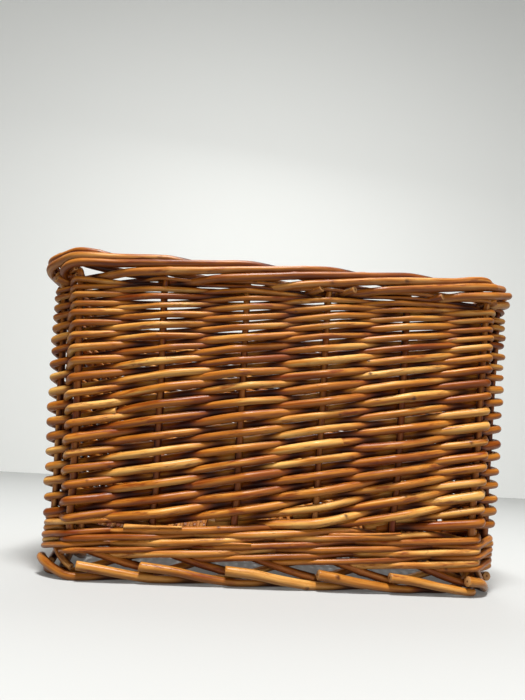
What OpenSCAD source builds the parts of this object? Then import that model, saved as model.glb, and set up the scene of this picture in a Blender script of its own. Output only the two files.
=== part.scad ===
// Open rectangular willow basket with leaning sides.
// The origin is on the floor, under the middle of the basket. X runs along the
// long sides, the front faces -Y and +Z is up. All sizes are in millimetres.

/* [Overall] */
// Height from the floor to the top of the border
height = 262; // [210:1:340]
// Length of the line of stakes at floor level
line_w = 350; // [260:1:460]
// Depth of the line of stakes at floor level
line_d = 248; // [180:1:360]
// Outward lean of the sides, in degrees
lean = 4; // [0:0.5:8]
// How far each corner is cut back along the sides that meet there
corner_cut = 19; // [12:1:30]

/* [Stakes] */
// Diameter of the upright stakes
stake_rod = 6.4; // [4:0.1:7]
// Stakes between the corner stakes of a long side
long_side_stakes = 4; // [2:1:5]
// Stakes between the corner stakes of a short side
short_side_stakes = 3; // [1:1:4]
// Gap round a rod that passes through weaving
rod_fit = 0.1; // [0.05:0.05:0.4]

/* [Foot] */
// Height of the foot border, which is also the underside of the wale
foot_h = 19.5; // [18:0.5:26]
// Diameter of the foot border's rods
foot_rod = 7.2; // [5:0.1:7.5]
// Diameter of the short stakes that hold the foot border to the wale
foot_stake_rod = 5.8; // [4:0.1:6]
// Distance between a stake and the foot stake beside it
foot_stake_shift = 7.5; // [7:0.5:10]

/* [Wale] */
// Height of the wale
wale_h = 26; // [18:1:40]
// Thickness of the wale
wale_t = 16; // [10:0.5:17]

/* [Siding] */
// Thickness of the woven siding
siding_t = 13; // [8:0.5:16]

/* [Top border] */
// Diameter of the top border's rods
border_rod = 6.5; // [5:0.1:7.5]
// Gap between rods that lie side by side in a border
strand_gap = 0.4; // [0.2:0.1:1]

/* [Base] */
// Height of the base's underside above the floor
base_rise = 22; // [20:0.5:30]
// Thickness of the base weaving
base_t = 13; // [10:0.5:16]
// Diameter of the base sticks
stick_rod = 8; // [5:0.1:8.5]
// Number of base sticks
stick_count = 7; // [3:2:11]
// Gap between the edge of the base and the wale
base_gap = 0.3; // [0.1:0.1:1]

/* [Hidden] */
$fn = 48;
ROD_TINT = [0.63, 0.36, 0.14];
STAKE_TINT = [0.45, 0.25, 0.10];
WEAVE_TINT = [0.78, 0.52, 0.24];
WALE_TINT = [0.72, 0.44, 0.18];

// The outline of the basket is a rectangle with cut corners. Its eight edges
// are numbered anticlockwise from above, starting with the front.
EDGES = 8;
FRONT = 0;
RIGHT = 2;
BACK = 4;
LEFT = 6;
SIDES = [FRONT, RIGHT, BACK, LEFT];
CORNERS = [1, 3, 5, 7];
EDGE_NAMES = ["front", "front_right", "right", "back_right", "back", "back_left", "left", "front_left"];
HALF_TURN = 22.5; // half the angle between neighbouring edges
SEAM_TURN = 50; // turns a rod's seam line away from the mitre planes

border_pitch = border_rod + strand_gap;
foot_pitch = foot_rod + strand_gap;
// How far from the line of stakes a border rod lies that passes close beside them.
beside_stake = (stake_rod + border_rod) / 2 + strand_gap;
beside_foot_stake = (foot_stake_rod + foot_rod) / 2 + strand_gap;

// Places of the border rods in the border's cross-section: the distance outwards
// from the line of stakes, and how many pitches they lie below the top rod.
LOWEST_LAY = 2.62;
BORDER_LAY = [
    [-0.15 * border_pitch, 0],
    [0.85 * border_pitch, 0.6],
    [beside_stake + 0.15 * border_pitch, 1.6],
    [beside_stake + 0.15 * border_pitch, LOWEST_LAY],
    [-beside_stake, 0.85],
    [-beside_stake, 1.9]
];
// How many pitches below the top rod the stakes stop.
STAKE_TOP_LAY = 1.15;
// Places of the foot border's rods: outwards from the line of stakes, and how
// many pitches they lie above the lowest rod.
FOOT_LAY = [[0, 0], [beside_foot_stake, 1.2], [-beside_foot_stake, 1.0]];
// How many pitches above the lowest rod the foot stakes stop.
FOOT_STAKE_LAY = 0.65;

wale_top = foot_h + wale_h;
siding_top = height - border_rod - LOWEST_LAY * border_pitch - strand_gap;
through = 1; // how far a bore runs past the solid it passes through
far = line_w + line_d + height; // further than any point of the basket

function edge_name(edge) = EDGE_NAMES[edge];
function stakes_between(side) = side % 4 == 0 ? long_side_stakes : short_side_stakes;
function is_last(side, i) = i == stakes_between(side) + 1;

// Corner points of the outline, offset outwards from the line of stakes, at height z.
function outline(offset_out, z) =
    let (x = line_w / 2 + z * tan(lean) + offset_out)
    let (y = line_d / 2 + z * tan(lean) + offset_out)
    let (cut = corner_cut + offset_out * (1 - tan(HALF_TURN)))
    [
        [-x + cut, -y], [x - cut, -y], [x, -y + cut], [x, y - cut],
        [x - cut, y], [-x + cut, y], [-x, y - cut], [-x, -y + cut]
    ];
function edge_start(edge, offset_out, z) = concat(outline(offset_out, z)[edge], z);
function edge_end(edge, offset_out, z) = concat(outline(offset_out, z)[(edge + 1) % EDGES], z);
function between(a, b, share) = a + share * (b - a);
function unit(v) = v / norm(v);

// Centre of stake i of a side, at height z. Stake 0 is a corner stake.
function stake_point(side, i, z) =
    between(edge_start(side, 0, z), edge_end(side, 0, z), i / (stakes_between(side) + 1));

// Centre of the foot stake beside stake i, which stands on the side's straight part.
function foot_stake_point(side, i, z) =
    let (along = unit(edge_end(side, 0, z) - edge_start(side, 0, z)))
    stake_point(side, i, z) + (is_last(side, i) ? -1 : 1) * foot_stake_shift * along;

// The stakes that stand on an edge, as side and number. Those of a cut corner are its two ends.
function stakes_on(edge) =
    edge % 2 == 0
        ? [for (i = [0 : stakes_between(edge) + 1]) [edge, i]]
        : [[edge - 1, stakes_between(edge - 1) + 1], [(edge + 1) % EDGES, 0]];

// A straight rod from one point to another.
module rod(from, to, d) {
    run = to - from;
    translate(from)
        rotate([0, acos(run[2] / norm(run)), atan2(run[1], run[0])])
            rotate([0, 0, SEAM_TURN])
                cylinder(h = norm(run), d = d);
}

// Everything beyond the plane through three points that run anticlockwise as seen from there.
module beyond(a, b, c) {
    facing = unit(cross(b - a, c - a));
    translate(a)
        rotate([0, acos(facing[2]), atan2(facing[1], facing[0])])
            translate([-far, -far, 0])
                cube(2 * far);
}

// One flat piece of a band of weaving, with mitred ends.
module band_piece(edge, thickness, z_low, z_high) {
    out = thickness / 2;
    difference() {
        translate([-far / 2, -far / 2, z_low])
            cube([far, far, z_high - z_low]);
        beyond(edge_start(edge, out, z_low), edge_end(edge, out, z_low), edge_end(edge, out, z_high));
        beyond(edge_end(edge, -out, z_low), edge_start(edge, -out, z_low), edge_start(edge, -out, z_high));
        beyond(edge_start(edge, -out, z_low), edge_start(edge, out, z_low), edge_start(edge, out, z_high));
        beyond(edge_end(edge, out, z_low), edge_end(edge, -out, z_low), edge_end(edge, -out, z_high));
    }
}

module stake_bores(edge, z_low, z_high) {
    for (place = stakes_on(edge))
        rod(
            stake_point(place[0], place[1], z_low - through),
            stake_point(place[0], place[1], z_high + through),
            stake_rod + 2 * rod_fit
        );
}

module foot_stake_bores(edge) {
    for (place = stakes_on(edge))
        rod(
            foot_stake_point(place[0], place[1], foot_h - through),
            foot_stake_point(place[0], place[1], wale_top + through),
            foot_stake_rod + 2 * rod_fit
        );
}

// A border rod lying along one edge of the outline, stopping short of its neighbours.
module strand(edge, offset_out, z, d) {
    from = edge_start(edge, offset_out, z);
    to = edge_end(edge, offset_out, z);
    inset = (d / 2 * tan(HALF_TURN) + strand_gap / 2) * unit(to - from);
    rod(from + inset, to - inset, d);
}

module stake(side, i) {
    top = height - border_rod / 2 - STAKE_TOP_LAY * border_pitch;
    color(STAKE_TINT)
        rod(stake_point(side, i, foot_h), stake_point(side, i, top), stake_rod);
}

module siding(edges) {
    color(WEAVE_TINT)
        for (edge = edges)
            difference() {
                band_piece(edge, siding_t, wale_top, siding_top);
                stake_bores(edge, wale_top, siding_top);
            }
}

module wale(edges) {
    color(WALE_TINT)
        for (edge = edges)
            difference() {
                band_piece(edge, wale_t, foot_h, wale_top);
                stake_bores(edge, foot_h, wale_top);
                foot_stake_bores(edge);
            }
}

module top_border(edges) {
    color(ROD_TINT)
        for (edge = edges, lay = BORDER_LAY)
            strand(
                edge,
                lay[0],
                height - border_rod / 2 - lay[1] * border_pitch,
                border_rod
            );
}

module foot_border(edges) {
    color(ROD_TINT)
        for (edge = edges, lay = FOOT_LAY)
            strand(edge, lay[0], foot_rod / 2 + lay[1] * foot_pitch, foot_rod);
}

// The foot stakes stop inside the wale, where their tilted ends are clear of the siding.
module foot_stakes(side) {
    low = foot_rod / 2 + FOOT_STAKE_LAY * foot_pitch;
    high = wale_top - foot_stake_rod / 2 * sin(lean) - rod_fit;
    color(STAKE_TINT)
        for (i = [0 : stakes_between(side) + 1])
            rod(foot_stake_point(side, i, low), foot_stake_point(side, i, high), foot_stake_rod);
}

// Half the length of the base along X and along Y, and its outline.
base_reach = -wale_t / 2 - base_gap;
base_half = outline(base_reach, base_rise)[2];
stick_z = base_rise + base_t / 2;

function stick_y(i) =
    let (outer_y = -base_half[1] - stick_rod / 2 - rod_fit)
    (2 * i / (stick_count - 1) - 1) * outer_y;

module base_stick(i) {
    color(STAKE_TINT)
        rod([-base_half[0], stick_y(i), stick_z], [base_half[0], stick_y(i), stick_z], stick_rod);
}

module base_weave() {
    reach = base_half[0] + through;
    color(WEAVE_TINT)
        difference() {
            translate([0, 0, base_rise])
                linear_extrude(height = base_t)
                    polygon(outline(base_reach, base_rise));
            for (i = [0 : stick_count - 1])
                rod([-reach, stick_y(i), stick_z], [reach, stick_y(i), stick_z], stick_rod + 2 * rod_fit);
        }
}

function stake_name(side, i) = str("stake_", edge_name(side), "_", i + 1);
function stick_name(i) = str("base_stick_", i + 1);

base_weave();
for (i = [0 : stick_count - 1])
    base_stick(i);
for (side = SIDES, i = [0 : stakes_between(side) + 1])
    stake(side, i);
for (side = SIDES) {
    foot_stakes(side);
    foot_border([side]);
    wale([side]);
    siding([side]);
    top_border([side]);
}
foot_border(CORNERS);  // foot_border_corners
wale(CORNERS);  // wale_corners
siding(CORNERS);  // siding_corners
top_border(CORNERS);  // top_border_corners
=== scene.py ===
"""Willow basket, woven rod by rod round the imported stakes.

Lengths are in metres. A place on the ring of stakes is a number: 0 is the first stake of
the front, whole numbers are stakes, and they grow anticlockwise as seen from above.
"""

import math

import bpy
import numpy as np
from mathutils import Matrix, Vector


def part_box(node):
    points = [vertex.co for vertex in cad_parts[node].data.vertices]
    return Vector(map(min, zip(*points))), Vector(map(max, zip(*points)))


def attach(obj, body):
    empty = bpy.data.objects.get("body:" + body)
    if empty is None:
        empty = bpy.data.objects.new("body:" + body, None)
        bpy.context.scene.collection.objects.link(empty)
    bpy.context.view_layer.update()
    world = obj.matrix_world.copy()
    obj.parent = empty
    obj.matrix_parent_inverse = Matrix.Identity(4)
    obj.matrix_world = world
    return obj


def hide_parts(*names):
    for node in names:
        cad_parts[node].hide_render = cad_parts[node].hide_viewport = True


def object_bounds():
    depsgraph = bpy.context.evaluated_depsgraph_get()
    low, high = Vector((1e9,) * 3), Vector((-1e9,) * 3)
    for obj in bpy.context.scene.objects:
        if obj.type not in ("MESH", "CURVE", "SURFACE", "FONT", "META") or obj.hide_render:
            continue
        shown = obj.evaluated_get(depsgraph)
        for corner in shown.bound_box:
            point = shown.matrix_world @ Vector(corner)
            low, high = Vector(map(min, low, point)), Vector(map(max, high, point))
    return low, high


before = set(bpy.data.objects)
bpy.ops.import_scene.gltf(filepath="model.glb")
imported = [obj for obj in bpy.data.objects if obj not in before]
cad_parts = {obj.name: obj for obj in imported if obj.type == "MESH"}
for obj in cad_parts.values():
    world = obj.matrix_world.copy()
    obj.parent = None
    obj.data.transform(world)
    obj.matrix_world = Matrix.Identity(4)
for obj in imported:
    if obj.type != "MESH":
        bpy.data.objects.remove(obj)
cad_low, cad_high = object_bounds()

MM = 0.001
SIDES = ("front", "right", "back", "left")
rng = np.random.default_rng(20260)


# ---------------------------------------------------------------- levels and stakes

FOOT_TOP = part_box("wale_front")[0].z
WALE_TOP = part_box("wale_front")[1].z
SIDING_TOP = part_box("siding_front")[1].z
RIM_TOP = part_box("top_border_front")[1].z
FLOOR = cad_low.z


def side_stakes(side):
    """The names of a side's stakes, in order."""
    names = [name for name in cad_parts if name.startswith(f"stake_{side}_")]
    return sorted(names, key=lambda name: int(name.rsplit("_", 1)[1]))


def stake_ends(name):
    """Both ends of a stake's centre line: the middles of its two end rings."""
    points = np.array([vertex.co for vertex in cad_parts[name].data.vertices])
    points = np.unique(points.round(6), axis=0)
    upper = points[:, 2] > points[:, 2].mean()
    return points[~upper].mean(axis=0), points[upper].mean(axis=0)


RING = [name for side in SIDES for name in side_stakes(side)]
STAKES = len(RING)
LOW = np.array([stake_ends(name)[0] for name in RING])
HIGH = np.array([stake_ends(name)[1] for name in RING])


def unit(vectors):
    """Vectors scaled to a length of 1."""
    return vectors / np.linalg.norm(vectors, axis=-1, keepdims=True)


def outward_at_stakes():
    """The level direction out of the basket at each stake, halfway between its neighbours'."""
    along = unit(np.roll(LOW, -1, axis=0) - LOW)
    level = unit(along + np.roll(along, 1, axis=0))
    return np.stack([level[:, 1], -level[:, 0], np.zeros(STAKES)], axis=1)


OUTWARD = outward_at_stakes()
CORNER_STAKES = [RING.index(side_stakes(side)[end]) for side in SIDES for end in (0, -1)]
FRONT_LEFT = 0
FRONT_RIGHT = len(side_stakes("front")) - 1

# How this basket is uneven.
LIFT = 8 * MM  # the most that rods ride up low on the front right corner
LIFT_FADE = 85 * MM  # how far over the wale they lie level again
FOOT_FLARE = 1.5 * MM  # how far the foot bulges out at the front left corner
BORDER_FLARE = 5 * MM  # how far the border does
BORDER_RISE = 2 * MM  # how far the border stands up there
WANDER = 0.7 * MM  # half the height of the rows' slow waves
WANDER_FADE = 30 * MM  # how far from the siding's edges the waves have their full height


def lift(place, height):
    """How far rods ride up low on the front right corner.

    It leaves out places past a full turn, so the wale, which gets there past one, stays level.
    """
    away = (np.asarray(place) - (FRONT_RIGHT + 0.4)) / 1.4
    low_down = np.clip((WALE_TOP + LIFT_FADE - height) / LIFT_FADE, 0, 1)
    woven = np.clip((height - FOOT_TOP + 4 * MM) / (10 * MM), 0, 1)
    return LIFT * np.exp(-away * away) * low_down * woven


def stakes_from(corner, place):
    """How many stakes a place is from a corner, the shorter way round."""
    away = np.asarray(place) - corner
    return (away + STAKES / 2) % STAKES - STAKES / 2


def flare(place, height):
    """How far the foot, the wale and the border bulge out at the front left corner."""
    away = stakes_from(FRONT_LEFT - 0.9, place)
    low_down = np.clip((WALE_TOP + 2 * MM - height) / (25 * MM), 0, 1)
    high_up = np.clip((height - SIDING_TOP + 1 * MM) / (5 * MM), 0, 1)
    return (FOOT_FLARE * low_down + BORDER_FLARE * high_up) * np.exp(-away * away / 0.9)


def high_corner(place, height):
    """How far the border stands up at the front left corner."""
    away = stakes_from(FRONT_LEFT - 1, place)
    high_up = np.clip((height - SIDING_TOP) / (8 * MM), 0, 1)
    return BORDER_RISE * high_up * np.exp(-away * away / 0.8)


def wander(place, height):
    """A slow rise and fall of the rows, the same for rods that touch."""
    turn = 2 * math.pi * np.asarray(place) / STAKES
    middle = np.clip((height - WALE_TOP) / WANDER_FADE, 0, 1)
    middle = middle * np.clip((SIDING_TOP - height) / WANDER_FADE, 0, 1)
    waves = np.sin(5 * turn + 40 * height) + 0.8 * np.sin(9 * turn - 65 * height + 1)
    return WANDER * middle * waves


def at(place, out, height):
    """Points at places on the ring, so far outside the line of stakes, at a height."""
    place, out, height = np.broadcast_arrays(
        np.atleast_1d(np.asarray(place, float)), np.asarray(out, float), np.asarray(height, float)
    )
    out = out + flare(place, height)
    height = height + lift(place, height) + wander(place, height) + high_corner(place, height)
    before = np.floor(place).astype(int)
    share = (place - before)[:, None]
    here, after = before % STAKES, (before + 1) % STAKES

    def centre(stake):
        rise = (height - LOW[stake, 2]) / (HIGH[stake, 2] - LOW[stake, 2])
        return LOW[stake] + rise[:, None] * (HIGH[stake] - LOW[stake])

    line = (1 - share) * centre(here) + share * centre(after)
    normal = unit((1 - share) * OUTWARD[here] + share * OUTWARD[after])
    return line + out[:, None] * normal


def outside(points):
    """How far points lie outside the slanted walls through the stakes; negative inside."""
    rise = (points[:, 2] - LOW[0, 2]) / (HIGH[0, 2] - LOW[0, 2])
    most = np.full(len(points), -np.inf)
    for stake in range(STAKES):
        after = (stake + 1) % STAKES
        along = unit(LOW[after] - LOW[stake])
        on_wall = LOW[stake] + rise[:, None] * (HIGH[stake] - LOW[stake])
        away = (points - on_wall) @ [along[1], -along[0], 0]
        most = np.maximum(most, away)
    return most


# ---------------------------------------------------------------- paths

STEP = 2.3 * MM
ROD_WAVES = (160 * MM, 90 * MM, 47 * MM)  # the lengths of the waves in a real rod


def smooth(points, reach=1.0):
    """A smooth line through points, with a sample every STEP or less.

    It passes each point halfway between the directions of the stretches on both sides.
    reach limits how far a bend spreads: a small one makes a sharp bend.
    """
    points = np.asarray(points, float)
    reach = np.broadcast_to(reach, len(points))
    run = np.diff(points, axis=0)
    length = np.linalg.norm(run, axis=1)
    ahead = run / length[:, None]
    heading = unit(np.vstack([ahead[:1], ahead[:-1] + ahead[1:], ahead[-1:]]))
    pieces = []
    for i, chord in enumerate(length):
        count = max(2, math.ceil(chord / STEP))
        t = (np.arange(count) / count)[:, None]
        leave = heading[i] * min(chord, reach[i])
        arrive = heading[i + 1] * min(chord, reach[i + 1])
        pieces.append(
            (2 * t**3 - 3 * t**2 + 1) * points[i]
            + (t**3 - 2 * t**2 + t) * leave
            + (3 * t**2 - 2 * t**3) * points[i + 1]
            + (t**3 - t**2) * arrive
        )
    pieces.append(points[-1:])
    return np.vstack(pieces)


def lengths_along(line):
    """The distance from the start of a line to each of its points."""
    return np.concatenate([[0], np.cumsum(np.linalg.norm(np.diff(line, axis=0), axis=1))])


def waver(line, amount):
    """The line with the slight random waves of a real rod."""
    along = lengths_along(line)
    offset = np.zeros_like(line)
    for wave in ROD_WAVES:
        size = amount * wave / ROD_WAVES[0]
        phase = rng.uniform(0, 2 * math.pi, 3)
        offset += size * np.sin(2 * math.pi * along[:, None] / wave + phase)
    return line + offset


# ---------------------------------------------------------------- rods

TUCK_REACH = 3.6 * MM  # within this of the line of stakes a rod lies deep in the weave, where the willow gets painted shade
BEVEL = 0.35 * MM  # at both ends of a rod
LEAST_R = 0.5 * MM  # the thinnest that a rod gets
OVAL = 0.035  # how far a rod is from round, as a share of its thickness
OVAL_TURN = 35 * MM  # the length in which that turns by half a radian
UNEVEN = 0.03  # how far a rod's thickness varies along it
UNEVEN_RUN = 26 * MM  # the length in which that moves on by a radian
BUD_GAPS = (32, 85)  # the distances between a rod's buds, in MM
BUD_LENGTH = 2.2 * MM
NODE_LENGTH = 4 * MM  # of the slight ring under a bud
NODE_SWELL = 0.12 * MM
HIGHEST_BUD = 0.6  # how far the largest bud stands out, in MM


class Bundle:
    """The mesh of one piece, which is one or more rods."""

    def __init__(self):
        self.points, self.quads, self.fans = [], [], []
        self.grain, self.marks = [], []
        self.count = 0

    def add(self, line, radius, tone=None, wave=0.25 * MM, sides=12, slant=(0.25, 0.25)):
        """One rod along a line.

        radius is one number or one for each point of the line. tone is its shade, from 0 to 1.
        slant is how far each end is cut askew, as a share of the rod's thickness.
        """
        line = waver(line, wave)
        along = lengths_along(line)
        radius = np.broadcast_to(radius, len(line)).astype(float)
        tone = rng.uniform(0, 1) if tone is None else tone
        line = np.vstack([line[0], line[0] + (line[1] - line[0]) * BEVEL / along[1], line[1:]])
        tail = line[-1] + (line[-2] - line[-1]) * BEVEL / (along[-1] - along[-2])
        line = np.vstack([line[:-1], tail, line[-1]])
        radius = np.concatenate([[radius[0] - BEVEL], [radius[0]], radius[1:-1],
                                 [radius[-1]], [radius[-1] - BEVEL]])
        radius = np.maximum(radius, LEAST_R)
        along = lengths_along(line)
        rings = len(line)

        heading = unit(np.gradient(line, axis=0))
        across = self.transported(heading)
        up = np.cross(heading, across)
        turn = np.linspace(0, 2 * math.pi, sides, endpoint=False)
        swell, knot = self.knots(along, turn)
        oval = 1 + OVAL * np.cos(2 * turn[None, :] + along[:, None] / OVAL_TURN + tone * 9)
        thick = (radius * (1 + UNEVEN * np.sin(along / UNEVEN_RUN + tone * 40)))[:, None] * oval
        thick = thick + swell * radius[:, None] / (3 * MM)
        east = thick * np.cos(turn)
        north = thick * np.sin(turn)
        skin = (line[:, None, :] + east[..., None] * across[:, None, :]
                + north[..., None] * up[:, None, :])
        for end, share in ((0, slant[0]), (1, slant[1])):
            near = [0, 1] if end == 0 else [-2, -1]
            lean = share * (east[near] * math.cos(tone * 50) + north[near] * math.sin(tone * 50))
            skin[near] += lean[..., None] * heading[near][:, None, :]

        start = self.count
        first = start + np.arange(rings - 1)[:, None] * sides
        side = np.arange(sides)
        beside = (side + 1) % sides
        self.quads.append(np.stack([first + side, first + beside, first + sides + beside,
                                    first + sides + side], axis=-1).reshape(-1, 4))
        low_cap, high_cap = start + rings * sides, start + rings * sides + 1
        last = start + (rings - 1) * sides
        self.fans.append(np.stack([start + beside, start + side, np.full(sides, low_cap)], axis=-1))
        self.fans.append(np.stack([last + side, last + beside, np.full(sides, high_cap)], axis=-1))
        caps = np.stack([skin[0].mean(axis=0), skin[-1].mean(axis=0)])
        self.points.append(np.vstack([skin.reshape(-1, 3), caps]))

        shift = rng.uniform(0, 9)
        lengthwise = np.broadcast_to(along[:, None] + shift, east.shape)
        grain = np.stack([lengthwise, east, north], axis=-1)
        cap_grain = [[along[0] + shift, 0, 0], [along[-1] + shift, 0, 0]]
        self.grain.append(np.vstack([grain.reshape(-1, 3), cap_grain]))
        cut = np.zeros_like(east)
        cut[[0, -1]] = 1
        marks = np.stack([np.full_like(east, tone), knot, cut], axis=-1)
        self.marks.append(np.vstack([marks.reshape(-1, 3), [[tone, 0, 1], [tone, 0, 1]]]))
        self.count = start + rings * sides + 2

    @staticmethod
    def transported(heading):
        """A direction across the rod at each point, which turns no more than the rod does."""
        guess = np.array([0, 0, 1.0]) if abs(heading[0][2]) < 0.8 else np.array([1.0, 0, 0])
        across = np.empty_like(heading)
        for i, forward in enumerate(heading):
            guess = guess - forward * (guess @ forward)
            guess /= math.sqrt(guess @ guess)
            across[i] = guess
        return across

    @staticmethod
    def knots(along, turn):
        """The swelling and the darkness that a rod's buds make, round and along it."""
        swell = np.zeros((len(along), len(turn)))
        dark = np.zeros_like(swell)
        spot = rng.uniform(10, 60) * MM
        while spot < along[-1] - 6 * MM:
            angle = rng.uniform(0, 2 * math.pi)
            off = np.abs((turn - angle + math.pi) % (2 * math.pi) - math.pi)
            size = rng.uniform(0.2, HIGHEST_BUD)
            beside = np.exp(-((off / 0.7) ** 2))[None, :]
            close = np.exp(-(((along - spot) / BUD_LENGTH) ** 2))[:, None]
            swell += size * MM * close * beside
            swell += NODE_SWELL * np.exp(-(((along - spot) / NODE_LENGTH) ** 2))[:, None]
            dark += size / HIGHEST_BUD * close * np.exp(-((off / 0.6) ** 2))[None, :]
            spot += rng.uniform(*BUD_GAPS) * MM
        return swell, np.clip(dark, 0, 1)

    def piece(self, name, material, slot, nodes):
        """Makes the object. It rides on the basket's body and stands for CAD nodes."""
        quads, fans = np.vstack(self.quads), np.vstack(self.fans)
        mesh = bpy.data.meshes.new(name)
        mesh.vertices.add(self.count)
        mesh.vertices.foreach_set("co", np.vstack(self.points).ravel())
        corners = np.concatenate([quads.ravel(), fans.ravel()]).astype(np.int32)
        starts = np.concatenate([np.arange(len(quads)) * 4, quads.size + np.arange(len(fans)) * 3])
        mesh.loops.add(len(corners))
        mesh.loops.foreach_set("vertex_index", corners)
        mesh.polygons.add(len(starts))
        mesh.polygons.foreach_set("loop_start", starts.astype(np.int32))
        mesh.update(calc_edges=True)
        mesh.validate()
        for label, values in (("grain", self.grain), ("marks", self.marks)):
            layer = mesh.attributes.new(label, "FLOAT_VECTOR", "POINT")
            layer.data.foreach_set("vector", np.vstack(values).astype(np.float32).ravel())
        # How deep each point lies in the weave, by the line of stakes: the willow gets painted
        # shade and more roughness there.
        tuck = 1 - np.clip(np.abs(outside(np.vstack(self.points))) / TUCK_REACH, 0, 1)
        layer = mesh.attributes.new("tuck", "FLOAT", "POINT")
        layer.data.foreach_set("value", tuck.astype(np.float32))
        mesh.shade_smooth()
        mesh.set_sharp_from_angle(angle=math.radians(50))
        mesh.materials.append(material)
        item = bpy.data.objects.new(name, mesh)
        bpy.context.scene.collection.objects.link(item)
        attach(item, "root")
        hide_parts(*nodes)
        return item


# ---------------------------------------------------------------- materials


class Nodes:
    """Short calls that add nodes to a material."""

    def __init__(self, name):
        self.material = bpy.data.materials.new(name)
        self.material.use_nodes = True
        self.tree = self.material.node_tree
        self.shader = self.tree.nodes["Principled BSDF"]

    def link(self, value, socket):
        if isinstance(value, bpy.types.NodeSocket):
            self.tree.links.new(value, socket)
        else:
            socket.default_value = value

    def attribute(self, name, output="Vector"):
        node = self.tree.nodes.new("ShaderNodeAttribute")
        node.attribute_name = name
        return node.outputs[output]

    def separate(self, vector):
        node = self.tree.nodes.new("ShaderNodeSeparateXYZ")
        self.link(vector, node.inputs[0])
        return node.outputs

    def scaled(self, vector, along, across):
        node = self.tree.nodes.new("ShaderNodeVectorMath")
        node.operation = "MULTIPLY"
        self.link(vector, node.inputs[0])
        node.inputs[1].default_value = (along, across, across)
        return node.outputs[0]

    def noise(self, vector, detail=3.0, roughness=0.55):
        node = self.tree.nodes.new("ShaderNodeTexNoise")
        self.link(vector, node.inputs["Vector"])
        node.inputs["Scale"].default_value = 1.0
        node.inputs["Detail"].default_value = detail
        node.inputs["Roughness"].default_value = roughness
        return node.outputs["Fac"]

    def math(self, operation, a, b=0.0, c=0.0):
        node = self.tree.nodes.new("ShaderNodeMath")
        node.operation = operation
        for value, socket in zip((a, b, c), node.inputs):
            self.link(value, socket)
        return node.outputs[0]

    def between(self, value, low, high, to_low=0.0, to_high=1.0):
        node = self.tree.nodes.new("ShaderNodeMapRange")
        node.interpolation_type = "SMOOTHSTEP"
        for item, socket in zip((value, low, high, to_low, to_high), node.inputs):
            self.link(item, socket)
        return node.outputs[0]

    def mix(self, share, a, b):
        node = self.tree.nodes.new("ShaderNodeMix")
        node.data_type = "RGBA"
        self.link(share, node.inputs["Factor"])
        self.link(a, node.inputs[6])
        self.link(b, node.inputs[7])
        return node.outputs[2]

    def ramp(self, share, colours):
        node = self.tree.nodes.new("ShaderNodeValToRGB")
        self.link(share, node.inputs[0])
        stops = node.color_ramp.elements
        while len(stops) < len(colours):
            stops.new(1.0)
        for i, colour in enumerate(colours):
            stops[i].position = i / (len(colours) - 1)
            stops[i].color = colour
        return node.outputs[0]


def colour(red, green, blue):
    """A colour as seen on a screen, from 0 to 255, as the linear one that shaders take."""
    return tuple((value / 255) ** 2.2 for value in (red, green, blue)) + (1.0,)


BARK = colour(70, 24, 8)
SPECK = colour(80, 26, 6)
CUT_WOOD = colour(190, 142, 88)
PITH = colour(86, 50, 26)
# Dark brown for painted shade, deep in the weave and on the rods' undersides.
PAINTED_SHADE_BROWN = colour(40, 11, 1)

# How fine the willow's patterns are, along and across a rod, in waves per metre.
FIBRES = (30, 1100)
STREAKS = (14, 420)
PATCHES = (19, 130)
STAINS = (42, 240)
DOTS = (330, 620)
# How far a rod's tone, its patterns and its tuck, how deep it lies in the weave, move it from its
# darkest shade, 0, towards its palest, 1. The tuck's part is painted shade.
FROM_TONE = 0.40
FROM_PATCHES = 1.25
FROM_STREAKS = 0.75
FROM_FIBRES = 0.45
FROM_TUCK_SHADE = -0.45
SHADE_SHIFT = -0.80  # this brings the middle of the patterns back to the middle of the shades
# The levels between which each mark sets in, and how much of the colour it then takes over.
RUDDY_LEVELS, RUDDY_SHARE = (0.56, 0.70), 0.75
SPECK_LEVELS, SPECK_SHARE = (0.62, 0.72), 0.7
SPECKLED_LEVELS = (0.44, 0.60)  # of the patches that have specks
KNOT_LEVELS, KNOT_SHARE = (0.2, 0.8), 0.85
# Painted shade: where rods lie deep in the weave they turn towards dark brown.
TUCK_SHADE_LEVELS, TUCK_SHADE_SHARE = (0.25, 0.9), 0.75
UNDERSIDE_SHADE_LEVELS, UNDERSIDE_SHADE_SHARE = (-0.7, 0.3), 0.62  # of how far a surface faces upwards; painted shade that darkens the undersides
PITH_R, PITH_EDGE_R = 0.6 * MM, 1.1 * MM
# Roughness, and how much the fibres, the tuck and a cut add to it.
ROUGHNESS, FIBRES_ROUGH, TUCK_ROUGH, CUT_ROUGH = 0.26, 0.26, 0.25, 0.3
SHINE = 0.22
VARNISH, VARNISH_ROUGHNESS = 0.12, 0.25
RELIEF_DEPTH, RELIEF_STRENGTH = 0.35 * MM, 0.6
# How much each pattern adds to the relief.
STAINS_HIGH, STREAKS_HIGH, FIBRES_HIGH, SPECKS_HIGH = 0.6, 0.8, 0.5, -0.6


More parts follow.
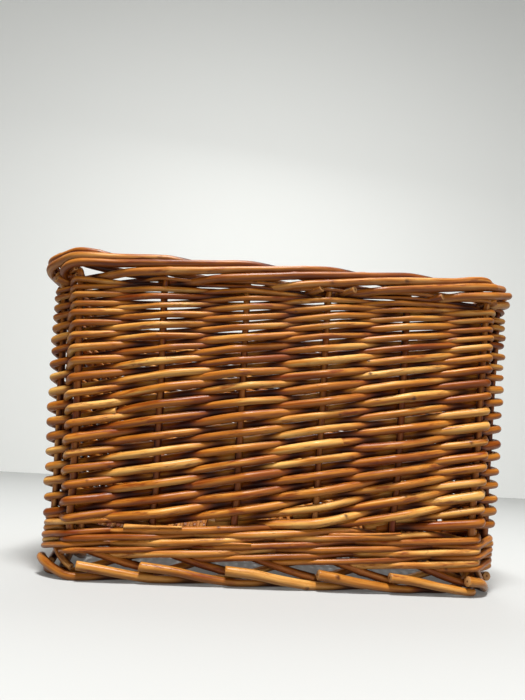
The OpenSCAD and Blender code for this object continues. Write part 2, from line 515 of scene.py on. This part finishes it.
def willow(name, shades, ruddy, red_share):
    """Varnished willow.

    shades run from its darkest rods to its palest, ruddy is the colour of its red patches,
    and red_share says how many of them there are.
    """
    n = Nodes(name)
    grain = n.attribute("grain")
    tone, knot, cut = n.separate(n.attribute("marks"))
    tuck = n.attribute("tuck", "Fac")
    fibres = n.noise(n.scaled(grain, *FIBRES), detail=4)
    streaks = n.noise(n.scaled(grain, *STREAKS), detail=3)
    patches = n.noise(n.scaled(grain, *PATCHES), detail=3)
    stains = n.noise(n.scaled(grain, *STAINS), detail=4, roughness=0.65)
    dots = n.noise(n.scaled(grain, *DOTS), detail=3, roughness=0.7)

    shade = n.math("MULTIPLY_ADD", tone, FROM_TONE, SHADE_SHIFT)
    for pattern, share in ((patches, FROM_PATCHES), (streaks, FROM_STREAKS),
                           (fibres, FROM_FIBRES), (tuck, FROM_TUCK_SHADE)):
        shade = n.math("MULTIPLY_ADD", pattern, share, shade)
    base = n.ramp(shade, shades)
    ruddy_levels = [level - red_share for level in RUDDY_LEVELS]
    base = n.mix(n.between(stains, *ruddy_levels, 0, RUDDY_SHARE), base, ruddy)
    speckled = n.between(patches, *SPECKLED_LEVELS)
    specks = n.math("MULTIPLY", n.between(dots, *SPECK_LEVELS), speckled)
    base = n.mix(n.math("MULTIPLY", specks, SPECK_SHARE), base, SPECK)
    base = n.mix(n.between(knot, *KNOT_LEVELS, 0, KNOT_SHARE), base, BARK)
    # Painted shade deep in the weave, near the line of stakes.
    base = n.mix(n.between(tuck, *TUCK_SHADE_LEVELS, 0, TUCK_SHADE_SHARE), base, PAINTED_SHADE_BROWN)
    # Painted shade on surfaces that face downwards.
    facing = n.separate(n.tree.nodes.new("ShaderNodeNewGeometry").outputs["Normal"])[2]
    base = n.mix(n.between(facing, *UNDERSIDE_SHADE_LEVELS, UNDERSIDE_SHADE_SHARE, 0), base, PAINTED_SHADE_BROWN)

    across = n.separate(grain)
    middle = n.math("SQRT", n.math("ADD", n.math("MULTIPLY", across[1], across[1]),
                                   n.math("MULTIPLY", across[2], across[2])))
    end_grain = n.mix(n.between(middle, PITH_R, PITH_EDGE_R, 1, 0), CUT_WOOD, PITH)
    end_grain = n.mix(n.math("MULTIPLY", stains, 0.5), end_grain, shades[1])
    base = n.mix(cut, base, end_grain)
    n.link(base, n.shader.inputs["Base Color"])

    rough = n.math("MULTIPLY_ADD", fibres, FIBRES_ROUGH, ROUGHNESS)
    rough = n.math("MULTIPLY_ADD", tuck, TUCK_ROUGH, rough)
    rough = n.math("MULTIPLY_ADD", cut, CUT_ROUGH, rough)
    n.link(rough, n.shader.inputs["Roughness"])
    n.shader.inputs["Specular IOR Level"].default_value = SHINE
    n.shader.inputs["Coat Weight"].default_value = VARNISH
    n.shader.inputs["Coat Roughness"].default_value = VARNISH_ROUGHNESS

    bump = n.tree.nodes.new("ShaderNodeBump")
    bump.inputs["Strength"].default_value = RELIEF_STRENGTH
    bump.inputs["Distance"].default_value = RELIEF_DEPTH
    relief = n.math("MULTIPLY", streaks, STREAKS_HIGH)
    for pattern, share in ((stains, STAINS_HIGH), (fibres, FIBRES_HIGH), (specks, SPECKS_HIGH)):
        relief = n.math("MULTIPLY_ADD", pattern, share, relief)
    n.link(relief, bump.inputs["Height"])
    n.link(bump.outputs[0], n.shader.inputs["Normal"])
    return n.material


SIDING_WILLOW = willow(
    "siding_willow",
    [colour(86, 32, 4), colour(148, 74, 16), colour(200, 124, 44), colour(244, 186, 100)],
    colour(122, 44, 8), 0.02)
WALE_WILLOW = willow(
    "wale_willow",
    [colour(84, 33, 5), colour(146, 76, 18), colour(200, 124, 48), colour(244, 184, 100)],
    colour(124, 46, 10), 0.03)
BORDER_WILLOW = willow(
    "border_willow",
    [colour(76, 30, 4), colour(138, 70, 16), colour(188, 114, 44), colour(236, 174, 98)],
    colour(118, 44, 8), 0.02)
FOOT_WILLOW = willow(
    "foot_willow",
    [colour(88, 38, 8), colour(148, 82, 26), colour(196, 126, 50), colour(232, 172, 94)],
    colour(130, 52, 12), 0.02)
# Darker shades than the siding's: painted shade for willow that lies in shadow; here it covers the
# base sticks.
STAKE_WILLOW = willow(
    "stake_willow",
    [colour(72, 30, 8), colour(112, 56, 18), colour(142, 80, 34), colour(168, 104, 52)],
    colour(100, 38, 10), 0.03)
# Darker shades than the siding's: painted shade for the weave inside the basket.
BASE_WILLOW = willow(
    "base_willow",
    [colour(84, 40, 12), colour(128, 72, 26), colour(162, 100, 44), colour(196, 134, 72)],
    colour(110, 46, 14), 0.02)


# ---------------------------------------------------------------- siding

SIDING_RODS = 36  # each climbs from the wale to the border in one turn of the basket
BUTT, TIP = 3.4 * MM, 2.25 * MM
STAKE_R = 3.1 * MM
SUNK = 3.5 * MM  # how far the lowest row's underside lies below the top of the wale
FULL_ROWS = 17  # rows that are as thick as the butts
TOP_PITCH = 0.5  # the pitch of the top row, as a share of the lowest rows' pitch
PLACE_JITTER, CORNER_JITTER = 0.13, 0.02  # how far bends miss their stakes, in stakes
HEIGHT_JITTER = 0.45 * MM
INNER_RISE, OUTER_RISE = 0.9 * MM, -0.1 * MM  # how far the top row's bends are raised
RODS_IN_A_PIECE = 3
# Where a rod ends on the outside and a new one goes on: rod number and stakes past its start.
JOINS = {2: 14.7, 5: 16.5, 9: 12.6, 13: 9.7, 17: 5.6, 23: 8.7, 26: 10.4, 27: 6.0, 31: 7.6}
JOIN_OVERLAP = 0.35  # in stakes
JOIN_DEPTH = 4.5 * MM  # how far inside the old rod the new one begins
JOIN_FADE = 22 * MM  # the length over which it comes out


def stake_distances():
    """The distance round the basket to each stake at half height, and the whole way round."""
    middle = (LOW + HIGH) / 2
    gaps = np.linalg.norm(np.roll(middle, -1, axis=0) - middle, axis=1)
    return np.concatenate([[0], np.cumsum(gaps)])


DISTANCES = stake_distances()
GIRTH = DISTANCES[-1]


def distance_at(place):
    """The distance round the basket to a place, which may be past a full turn."""
    turns = np.floor(np.asarray(place) / STAKES)
    return turns * GIRTH + np.interp(place - turns * STAKES, np.arange(STAKES + 1), DISTANCES)


def place_at(distance):
    """The place at a distance round the basket."""
    turns = math.floor(distance / GIRTH)
    return turns * STAKES + np.interp(distance - turns * GIRTH, DISTANCES, np.arange(STAKES + 1))


def siding_height(row):
    """The height of a row's middle. Rows get thinner towards the top, as the rods do."""
    lowest, highest = WALE_TOP + BUTT - SUNK, SIDING_TOP - TIP
    thin_rows = SIDING_RODS - FULL_ROWS
    whole = FULL_ROWS + thin_rows * (1 + TOP_PITCH) / 2
    row = np.clip(row, 0, SIDING_RODS)
    over = np.maximum(row - FULL_ROWS, 0)
    passed = row - over * over * (1 - TOP_PITCH) / (2 * thin_rows)
    return lowest + (highest - lowest) * passed / whole


def siding_rod(number):
    """The middle line of a siding rod, which passes inside and outside stakes by turns."""
    start = place_at(GIRTH * number / SIDING_RODS)
    first, last = math.ceil(start), math.floor(start + STAKES)
    if (first + number) % 2 == 0:
        first -= 1
    if (last + number) % 2 == 0:
        last += 1
    stakes = np.arange(first, last + 1)
    places = np.concatenate([[first - 0.3], stakes, [last + 0.3]])
    jitter = np.where(at_corner(places), CORNER_JITTER, PLACE_JITTER)
    places = places + jitter * rng.uniform(-1, 1, len(places))
    inside = np.concatenate([[1], (stakes + number) % 2, [1]])
    row = SIDING_RODS * distance_at(places) / GIRTH - number
    climbed = np.clip(row / SIDING_RODS, 0, 1)
    clear = STAKE_R + siding_radius(climbed)
    out = np.where(inside == 1, -1, 1) * clear * rng.uniform(0.95, 1.12, len(places))
    height = siding_height(row) + HEIGHT_JITTER * rng.uniform(-1, 1, len(places))
    height = height + np.where(inside == 1, INNER_RISE, OUTER_RISE) * climbed
    return smooth(at(places, out, height), bend_reach(places))


def at_corner(places):
    """Which of the places are nearest to one of the two stakes at a corner."""
    return np.isin(np.round(places).astype(int) % STAKES, CORNER_STAKES)


def bend_reach(places):
    """How far the bends of a woven rod spread: those round the corners are the sharpest."""
    return np.where(at_corner(places), 13 * MM, 24 * MM)


def siding_radius(climbed):
    """A siding rod's radius after it has climbed a share of the way up."""
    return np.interp(climbed, [0, FULL_ROWS / SIDING_RODS, 1], [BUTT, BUTT, TIP])


def place_of_points(line):
    """The place on the ring beside each point of a line, worked out from its direction."""
    corner_angle = np.arctan2(LOW[:, 1], LOW[:, 0])
    angle = np.arctan2(line[:, 1], line[:, 0])
    turned = (angle - corner_angle[0]) % (2 * math.pi)
    marks = np.append((corner_angle - corner_angle[0]) % (2 * math.pi), 2 * math.pi)
    place = np.interp(turned, marks, np.arange(STAKES + 1))
    return np.unwrap(place, period=STAKES)


def make_siding():
    nodes = [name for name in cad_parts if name.startswith("siding_")]
    for group in range(SIDING_RODS // RODS_IN_A_PIECE):
        bundle = Bundle()
        for number in range(group * RODS_IN_A_PIECE, (group + 1) * RODS_IN_A_PIECE):
            line = siding_rod(number)
            thickness = rng.uniform(0.88, 1.1)
            share = lengths_along(line) / lengths_along(line)[-1]
            radius = siding_radius(share) * thickness
            if number not in JOINS:
                bundle.add(line, radius)
                continue
            place = place_of_points(line)
            passed = place - place[0]
            until = np.searchsorted(passed, JOINS[number])
            again = np.searchsorted(passed, JOINS[number] - JOIN_OVERLAP)
            bundle.add(line[:until], radius[:until], slant=(0.25, 0.1))
            inward = -unit(line[again:] * [1, 1, 0])
            fade = np.exp(-np.arange(len(inward)) * STEP / JOIN_FADE)[:, None]
            bundle.add(line[again:] + inward * fade * JOIN_DEPTH, radius[again:])
        bundle.piece(f"siding_rods_{group + 1}", SIDING_WILLOW, "siding_rods", nodes)
    make_closing_rods(nodes)


CLOSING_RODS = 3
CLOSING_R = 1.6 * MM
CLOSING_PITCH = 2.2 * MM


def make_closing_rods(nodes):
    """Thin rods that go once round over the siding and fill the space under the border."""
    bundle = Bundle()
    for number in range(CLOSING_RODS):
        stakes = np.arange(1, STAKES + 1)
        places = np.concatenate([[0.4, 0.7], stakes - 0.02])
        inside = np.concatenate([[1, 1], (stakes + number) % 2])
        out = np.where(inside == 1, -1, 1) * (STAKE_R + CLOSING_R)
        out[:2] = -CLOSING_R
        climbed = np.clip((places - 0.4) / 0.6, 0, 1)
        height = SIDING_TOP - 1.5 * MM + climbed * (2.4 * MM + CLOSING_PITCH * number)
        line = smooth(at(places, out, height), reach=34 * MM)
        bundle.add(line, CLOSING_R * rng.uniform(0.95, 1.05))
    bundle.piece("closing_rods", BORDER_WILLOW, "siding_rods", nodes)


# ---------------------------------------------------------------- wale

WALE_ROUNDS = 3
WALE_R = 2.5 * MM
WALE_START = STAKES - len(side_stakes("left")) - 1  # at the back left corner
STROKE = 3  # a wale rod passes outside two stakes and inside the third
# A wale rod at half stakes through a stroke: outward distance, as a share of a stake's and
# a rod's radius together, and how far it has climbed, as a share of a round's height.
WALE_WAVE = [(-1, 0), (0, -0.5), (1, -0.25), (1.1, 0), (0.95, 0.25), (0, 0.5)]
# Thin tips that stick out of the wale: place, height over the foot, and length in stakes.
WALE_TIPS = [
    (1.35, 22 * MM, 0.7), (4.05, 22 * MM, 0.9), (2.2, 12 * MM, 0.6), (9.3, 18 * MM, 0.7),
    (13.4, 17 * MM, 0.8), (19.2, 20 * MM, 0.7),
]


def wale_rod(level, strand):
    """The middle line of one wale rod. level is its round, and strand its number in it.

    The rods of a round begin inside, each behind the next stake, and end inside.
    """
    rise = (WALE_TOP - FOOT_TOP) / WALE_ROUNDS
    middle = FOOT_TOP + rise * (level + 0.5)
    halves = np.arange(2 * (STAKES - 1) + 1)
    outward, climb = np.array([WALE_WAVE[half % len(WALE_WAVE)] for half in halves]).T
    places = WALE_START + STROKE * level + strand + halves / 2
    line = at(places, outward * (STAKE_R + WALE_R), middle + climb * rise)
    return smooth(line, bend_reach(places))


def make_wale():
    nodes = [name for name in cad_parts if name.startswith("wale_")]
    for level in range(WALE_ROUNDS):
        bundle = Bundle()
        for strand in range(STROKE):
            line = wale_rod(level, strand)
            share = np.linspace(0, 1, len(line))
            radius = WALE_R * rng.uniform(0.94, 1.08) * (1.05 - 0.12 * share)
            bundle.add(line, radius)
        bundle.piece(f"wale_round_{level + 1}", WALE_WILLOW, "wale_rods", nodes)
    make_wale_tips(nodes)


def make_wale_tips(nodes):
    bundle = Bundle()
    share = np.linspace(0, 1, 12)
    for place, up, length in WALE_TIPS:
        line = at(place - length * (1 - share), (5.5 + 3.6 * share) * MM,
                  FOOT_TOP + up + 1.5 * share * MM)
        bundle.add(line, (2.0 - 1.2 * share) * MM, wave=0.1 * MM, sides=10)
    bundle.piece("wale_tips", WALE_WILLOW, "wale_rods", nodes)


# ---------------------------------------------------------------- stakes and top border

BORDER_R = 3.4 * MM
BORDER_PITCH = 6.9 * MM
CROWN = RIM_TOP - BORDER_R - 2.5 * BORDER_PITCH
# A stake's top in the border: stakes passed towards the left, then outward distance and
# height over the crown in border pitches. It lies inside, rolls over the top and comes
# down outside, and its end goes back in under the border.
BORDER_PATH = [
    (0.0, 0.0, 0.1), (0.5, -0.7, 0.55), (1.0, -0.95, 1.3), (1.5, -0.6, 2.05),
    (2.0, 0.05, 2.48), (2.5, 0.5, 2.08), (3.0, 0.85, 1.6), (3.5, 1.05, 1.1),
    (4.0, 1.12, 0.55), (4.4, 0.9, 0.1), (4.6, 0.3, -0.15), (4.85, -0.6, -0.35), (5.1, -1.1, -0.45),
]
# A stake's foot, in the same way, towards the right, in foot pitches over the floor.
FOOT_PITCH = 8 * MM
STAKE_FOOT = [(1.02, 0.05, 1.15), (0.75, 0.1, 1.6), (0.45, 0.1, 2.2), (0.15, 0.0, 3.0)]
UPRIGHT_FROM = FOOT_TOP + 14 * MM
UPRIGHT_TO = SIDING_TOP - 3 * MM
# A stake's radius in MM, at shares of its length from its foot.
STAKE_TAPER = ([0, 0.1, 0.45, 0.55, 1], [2.9, 2.95, 2.9, 3.3, 3.4])


def stake_line(stake):
    """The middle line of a whole stake, from its foot through its upright part to its top."""
    foot = [(stake + right, out * FOOT_PITCH, FLOOR + up * FOOT_PITCH)
            for right, out, up in STAKE_FOOT]
    upright = [(stake, 0, height) for height in np.linspace(UPRIGHT_FROM, UPRIGHT_TO, 6)]
    top = [(stake - left, out * BORDER_PITCH, CROWN + up * BORDER_PITCH)
           for left, out, up in BORDER_PATH]
    places, out, height = np.array(foot + upright + top).T
    reach = np.full(len(places), 30 * MM)
    bend = len(foot) + len(upright)
    reach[bend - 1:bend + 1] = 7 * MM
    return smooth(at(places, out, height), reach)


# Trimmed ends that come out under the border: place, height under the top of the siding and
# how far out they end, both in MM, and how far they lean along the side on the way out.
TRIMMED_ENDS = [
    (-0.72, 0.0, 10.5, 0.0), (-1.25, 4.0, 9.0, 0.1),
    (2.68, -3.2, 8.0, 0.22), (3.06, -3.6, 8.5, 0.25),
    (4.1, -3.6, 8.5, 0.28), (4.92, -3.4, 8.0, 0.25),
    (8.6, -3.4, 8.0, 0.25), (12.5, -3.6, 8.0, 0.22),
    (15.3, -3.4, 8.5, 0.25), (18.4, -3.6, 8.0, 0.25),
]
TRIMMED_R = 3.0 * MM
TRIMMED_START = -7  # how far out they begin, in MM
TRIMMED_RISE = 3 * MM


def make_trimmed_ends():
    bundle = Bundle()
    for place, drop, reach, lean in TRIMMED_ENDS:
        share = np.linspace(0, 1, 6)
        out = (TRIMMED_START + share * (reach - TRIMMED_START)) * MM
        height = SIDING_TOP - drop * MM + (share - 1) * TRIMMED_RISE
        bundle.add(at(place + lean * share, out, height), TRIMMED_R, slant=(0.1, 0.2))
    nodes = [f"top_border_{side}" for side in SIDES]
    bundle.piece("trimmed_ends", BORDER_WILLOW, "border_rods", nodes)


# These stakes' tops are cut at the front right corner, and other rods carry on from there.
CUT_AT_CORNER = (7, 8, 9)
STICKS_OUT = (17, 21)  # how far those rods stick out past the corner, in MM


def split_at_corner(line, radius):
    """Cuts a stake at the front right corner: the part up to there, and the rod that carries on."""
    place = place_of_points(line)
    tall = line[:, 2] > SIDING_TOP
    before = (place > FRONT_RIGHT + 0.72) | ~tall
    after = (place < FRONT_RIGHT + 0.1) & tall
    onward = line[after]
    straight = onward[0] + unit(onward[0] - onward[4]) * rng.uniform(*STICKS_OUT) * MM
    onward = np.vstack([np.linspace(straight, onward[0], 7)[:-1], onward])
    return (line[before], radius[before]), (onward, np.full(len(onward), BORDER_R))


def make_stakes():
    for number, name in enumerate(RING):
        bundle = Bundle()
        line = stake_line(number)
        share = np.linspace(0, 1, len(line))
        radius = np.interp(share, *STAKE_TAPER) * MM * rng.uniform(0.95, 1.04)
        parts = split_at_corner(line, radius) if number in CUT_AT_CORNER else [(line, radius)]
        for part, thickness in parts:
            bundle.add(part, thickness, sides=14, slant=(0.1, 0.1))
        side = name.split("_")[1]
        nodes = [name, f"top_border_{side}", "top_border_corners"]
        bundle.piece(f"willow_{name}", BORDER_WILLOW, "border_rods", nodes)


# ---------------------------------------------------------------- foot

# A foot rod: stakes passed towards the left, then outward distance and height over the
# floor in foot pitches. It leaves the wale inside, goes under and ends outside in a cut butt.
FOOT_PATH = [
    (0.0, 0.0, 3.3), (0.25, -0.5, 2.6), (0.5, -0.8, 2.1), (0.9, -0.95, 1.15),
    (1.3, -0.75, 0.5), (1.7, -0.25, 0.42), (2.1, 0.35, 0.42), (2.5, 0.8, 0.85), (2.9, 1.0, 1.38),
]
FOOT_STAKE_SHIFT = 0.12  # how far beside its stake a foot rod stands, in stakes
# Stakes passed by the foot rods whose cut ends show on the front, by their own stake.
FOOT_ENDS = {3: 2.98, 4: 3.26, 5: 3.22, 6: 3.08, 7: 3.18, 8: 3.24, 9: 2.98}
# The last stretch of a foot rod, in foot pitches: outward distance, rise for each stake passed,
# and the most height.
FOOT_END_OUT, FOOT_END_RISE, FOOT_END_TOP = 1.02, 1.3, 1.6
FOOT_TAPER = ([0, 0.3, 0.7, 1], [2.7, 2.8, 3.2, 3.7])  # like STAKE_TAPER


def foot_line(stake):
    """The middle line of a foot rod that stands beside a stake."""
    root = [(stake, 0, WALE_TOP - 2 * MM), (stake, 0, UPRIGHT_FROM)]
    bend = [(stake - left, out * FOOT_PITCH, FLOOR + up * FOOT_PITCH)
            for left, out, up in FOOT_PATH]
    end = FOOT_ENDS.get(stake, rng.uniform(3.02, 3.2))
    last, _, up = FOOT_PATH[-1]
    up = min(up + FOOT_END_RISE * (end - last), FOOT_END_TOP)
    tail = [(stake - end, FOOT_END_OUT * FOOT_PITCH, FLOOR + up * FOOT_PITCH)]
    places, out, height = np.array(root + bend + tail).T
    return smooth(at(places + FOOT_STAKE_SHIFT, out, height), reach=25 * MM)


def make_foot():
    number = 0
    for side in SIDES:
        bundle = Bundle()
        for _ in side_stakes(side):
            line = foot_line(number)
            share = np.linspace(0, 1, len(line))
            radius = np.interp(share, *FOOT_TAPER) * MM * rng.uniform(0.95, 1.03)
            bundle.add(line, radius, sides=14, slant=(0.2, 0.15))
            number += 1
        nodes = [f"foot_border_{side}", f"foot_stakes_{side}", "foot_border_corners"]
        bundle.piece(f"foot_rods_{side}", FOOT_WILLOW, "foot_rods", nodes)


# ---------------------------------------------------------------- base

STICK_R = 3.9 * MM
WEAVER_R = 2.1 * MM
WEAVER_PITCH = 4.5 * MM
ROWS_IN_A_PIECE = 16


def base_sticks():
    """The middle lines of the base sticks, from their CAD boxes."""
    names = sorted(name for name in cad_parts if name.startswith("base_stick_"))
    lines = []
    for name in names:
        low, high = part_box(name)
        y, z = (low.y + high.y) / 2, (low.z + high.z) / 2
        lines.append((name, [(x, y, z) for x in np.linspace(low.x, high.x, 9)]))
    return lines


def make_base():
    sticks = base_sticks()
    for name, points in sticks:
        bundle = Bundle()
        bundle.add(smooth(points), STICK_R, wave=0.4 * MM, sides=14)
        bundle.piece(f"willow_{name}", STAKE_WILLOW, "base_sticks", [name])

    low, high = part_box("base_weave")
    stick_y = [points[0][1] for _, points in sticks]
    stick_z = sticks[0][1][0][2]
    over = STICK_R + WEAVER_R
    rows = int((high.x - low.x - 2 * WEAVER_R) / WEAVER_PITCH)
    first_x = -(rows - 1) / 2 * WEAVER_PITCH
    for piece in range(math.ceil(rows / ROWS_IN_A_PIECE)):
        bundle = Bundle()
        points = []
        for row in range(piece * ROWS_IN_A_PIECE, min((piece + 1) * ROWS_IN_A_PIECE, rows)):
            x = first_x + row * WEAVER_PITCH
            order = range(len(stick_y)) if row % 2 == 0 else reversed(range(len(stick_y)))
            for i in order:
                above = 1 if (i + row) % 2 == 0 else -1
                points.append((x, stick_y[i], stick_z + above * over))
            edge = stick_y[i] + math.copysign(over, stick_y[i])
            points.append((x + WEAVER_PITCH / 2, edge, stick_z))
        bundle.add(smooth(points, reach=20 * MM), WEAVER_R, sides=10)
        bundle.piece(f"base_weaving_{piece + 1}", BASE_WILLOW, "base_weaving", ["base_weave"])


# ---------------------------------------------------------------- stage, lights and camera

PALE = colour(228, 229, 226)
FLOOR_SHADE = colour(192, 193, 191)
FLOOR_GLOW, WALL_GLOW, SKY_GLOW = 0.1, 0.27, 0.16
ROOM_HALF, ROOM_BACK, ROOM_TOP = 8, 2.2, 6  # the floor's half width, the wall's place and its top
# Square lights: place, what they shine at, size and power.
LIGHTS = {
    "key": ((0.0, -0.95, 2.4), (0, 0, 0.12), 0.5, 80),
    "top": ((0.2, 0.9, 2.4), (0, 0, 0.1), 1.2, 16),
    "fill": ((1.0, -1.8, 0.7), (0, 0, 0.12), 1.0, 5),
}
LENS, SENSOR = 27, 36  # in millimetres, as cameras state them
CAMERA_LEFT = 41 * MM  # from the basket's middle
CAMERA_BACK = 430 * MM  # from the front of the foot
CAMERA_UP = 92 * MM
CAMERA_YAW, CAMERA_TILT, CAMERA_ROLL = -3, 90 + 12.5, 3.1  # in degrees


def plain_surface(name, shade, strength):
    """A plain pale surface with a soft glow of its own, seen only from its front."""
    n = Nodes(name)
    n.shader.inputs["Base Color"].default_value = shade
    n.shader.inputs["Roughness"].default_value = 0.9
    n.shader.inputs["Specular IOR Level"].default_value = 0.2
    n.shader.inputs["Emission Color"].default_value = PALE
    n.shader.inputs["Emission Strength"].default_value = strength
    clear = n.tree.nodes.new("ShaderNodeBsdfTransparent")
    pick = n.tree.nodes.new("ShaderNodeMixShader")
    side = n.tree.nodes.new("ShaderNodeNewGeometry")
    n.link(side.outputs["Backfacing"], pick.inputs[0])
    n.link(n.shader.outputs[0], pick.inputs[1])
    n.link(clear.outputs[0], pick.inputs[2])
    n.link(pick.outputs[0], n.tree.nodes["Material Output"].inputs["Surface"])
    return n.material


def make_stage():
    """A pale floor, and a pale wall well behind the basket."""
    half, back, top = ROOM_HALF, ROOM_BACK, ROOM_TOP
    low = FLOOR
    planes = {
        "floor": [(-half, -half, low), (half, -half, low), (half, back, low), (-half, back, low)],
        "wall": [(-half, back, low), (half, back, low), (half, back, top), (-half, back, top)],
    }
    looks = {"floor": (FLOOR_SHADE, FLOOR_GLOW), "wall": (PALE, WALL_GLOW)}
    for name, corners in planes.items():
        mesh = bpy.data.meshes.new(name)
        mesh.from_pydata(corners, [], [(0, 1, 2, 3)])
        mesh.materials.append(plain_surface(name, *looks[name]))
        item = bpy.data.objects.new(name, mesh)
        bpy.context.scene.collection.objects.link(item)


def make_light(name, place, target, size, power):
    """A square soft light that shines from a place towards a target."""
    data = bpy.data.lights.new(name, "AREA")
    data.size = size
    data.energy = power
    light = bpy.data.objects.new(name, data)
    bpy.context.scene.collection.objects.link(light)
    forward = unit(np.array(target) - np.array(place))
    side = unit(np.cross(forward, [0, 0.01, 1]))
    turn = Matrix((side, np.cross(side, forward), -forward)).transposed()
    light.matrix_world = Matrix.Translation(place) @ turn.to_4x4()


def make_camera():
    """A view from left of the middle, low and close, turned, tilted up and rolled."""
    data = bpy.data.cameras.new("camera")
    data.lens = LENS
    data.sensor_width = SENSOR
    data.clip_start = 0.02
    camera = bpy.data.objects.new("camera", data)
    bpy.context.scene.collection.objects.link(camera)
    foot_y = LOW[FRONT_LEFT, 1] - 8 * MM
    place = (-CAMERA_LEFT, foot_y - CAMERA_BACK, FLOOR + CAMERA_UP)
    yaw = Matrix.Rotation(math.radians(CAMERA_YAW), 4, "Z")
    tilt = Matrix.Rotation(math.radians(CAMERA_TILT), 4, "X")
    roll = Matrix.Rotation(math.radians(CAMERA_ROLL), 4, "Z")
    camera.matrix_world = Matrix.Translation(place) @ yaw @ tilt @ roll
    bpy.context.scene.camera = camera


def make_world():
    world = bpy.data.worlds.new("world")
    world.use_nodes = True
    sky = world.node_tree.nodes["Background"]
    sky.inputs["Color"].default_value = PALE
    sky.inputs["Strength"].default_value = SKY_GLOW
    bpy.context.scene.world = world
    bpy.context.scene.view_settings.view_transform = "Standard"


make_camera()
make_siding()
make_wale()
make_stakes()
make_trimmed_ends()
make_foot()
make_base()
make_stage()
make_world()
for light_name, settings in LIGHTS.items():
    make_light(light_name, *settings)
